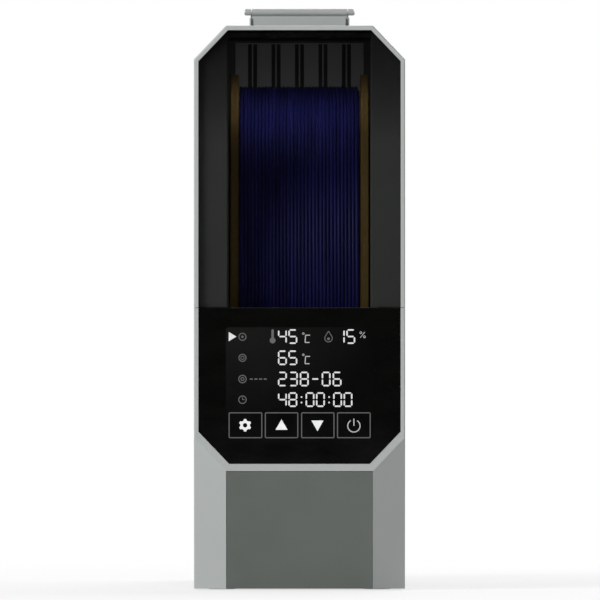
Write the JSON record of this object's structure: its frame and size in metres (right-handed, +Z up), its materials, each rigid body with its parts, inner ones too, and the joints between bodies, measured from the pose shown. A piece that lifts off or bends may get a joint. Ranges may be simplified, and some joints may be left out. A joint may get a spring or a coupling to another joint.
{
  "type": "filament dryer box",
  "caption": "Narrow upright drying box with an octagonal front, smoked hinged lid, display panel and a filament spool turning on rollers inside.",
  "frame": {"origin": "centre of the bounding box's underside, on the plane the rubber feet stand on", "axes": "+X to the right seen from the front, +Y to the back, +Z up"},
  "size_m": [0.1046, 0.2694, 0.2879],
  "materials": {
    "shell_grey": "fine satin",
    "panel_grey": "fine matt",
    "glass_black": "polished",
    "window_tint": "smoked",
    "liner_grey": "fine matt",
    "spool_board": "plain board",
    "filament_blue": "satin strand",
    "steel": "turned",
    "hinge_grey": "fine satin",
    "rubber": "matt",
    "black_plastic": "matt",
    "bush_white": "matt",
    "circuit": "solder mask",
    "components": "mixed parts",
    "aluminium": "plain fins",
    "brass": "plain blades",
    "lead_black": "jacket"
  },
  "bodies": {
    "base": {"base_shell": "shell_grey", "lower_panel": "panel_grey", "display_glass": "glass_black", "lcd_module": "black_plastic", "control_board": "circuit", "control_parts": "components", "chamber_tub": "liner_grey", "rear_grille": "liner_grey", "roller_bushes": "bush_white", "base_magnets": "steel", "front_seal": "rubber", "base_hinge_leaf": "hinge_grey", "base_hinge_screws": "steel", "hinge_pin": "steel", "rear_cover": "panel_grey", "rear_cover_screws": "steel", "bottom_cover": "panel_grey", "bottom_cover_screws": "steel", "rubber_feet": "rubber", "power_board": "circuit", "power_parts": "components", "fan_frame": "black_plastic", "fan_screws": "steel", "heater_frame": "bush_white", "heater_fins": "aluminium", "thermal_cutout": "components", "sensor_board": "circuit", "inlet_socket": "black_plastic", "inlet_pins": "brass", "switch_housing": "black_plastic", "mains_leads": "lead_black", "display_lead": "lead_black", "fan_lead": "lead_black", "heater_leads": "lead_black"},
    "lid": {"lid_shell": "shell_grey", "lid_window": "window_tint", "lid_liner": "liner_grey", "lid_seal": "rubber", "lid_magnets": "steel", "lid_hinge_leaf": "hinge_grey", "lid_hinge_screws": "steel", "outlet_grommets": "black_plastic"},
    "spool": {"spool_flange_left": "spool_board", "spool_flange_right": "spool_board", "spool_core": "spool_board", "filament_core": "filament_blue", "filament_winding": "filament_blue"},
    "front_roller": {"front_roller_shaft": "steel", "front_roller_tyres": "rubber"},
    "rear_roller": {"rear_roller_shaft": "steel", "rear_roller_tyres": "rubber"},
    "fan": {"fan_rotor": "black_plastic"},
    "switch": {"switch_rocker": "black_plastic"}
  },
  "joints": [
    {"name": "lid_hinge", "type": "hinge", "parent": "base", "child": "lid", "pos_m": [0, 0.09775, 0.2862], "axis": [-1, 0, 0], "range_deg": [0, 105]},
    {"name": "spool_spin", "type": "hinge", "parent": "base", "child": "spool", "pos_m": [0, -0.016, 0.155], "axis": [1, 0, 0], "continuous": true},
    {"name": "front_roller_spin", "type": "hinge", "parent": "base", "child": "front_roller", "pos_m": [0, -0.07841, 0.06588], "axis": [1, 0, 0], "continuous": true},
    {"name": "rear_roller_spin", "type": "hinge", "parent": "base", "child": "rear_roller", "pos_m": [0, 0.04641, 0.06588], "axis": [1, 0, 0], "continuous": true},
    {"name": "fan_spin", "type": "hinge", "parent": "base", "child": "fan", "pos_m": [0, 0.1164, 0.13], "axis": [0, 1, 0], "continuous": true},
    {"name": "switch_rock", "type": "hinge", "parent": "base", "child": "switch", "pos_m": [-0.022, 0.12875, 0.028], "axis": [0, 0, 1], "range_deg": [0, 18]}
  ],
  "couplings": [
    {"joint": "front_roller_spin", "follows": "spool_spin", "ratio": -11.765},
    {"joint": "rear_roller_spin", "follows": "spool_spin", "ratio": -11.765}
  ]
}
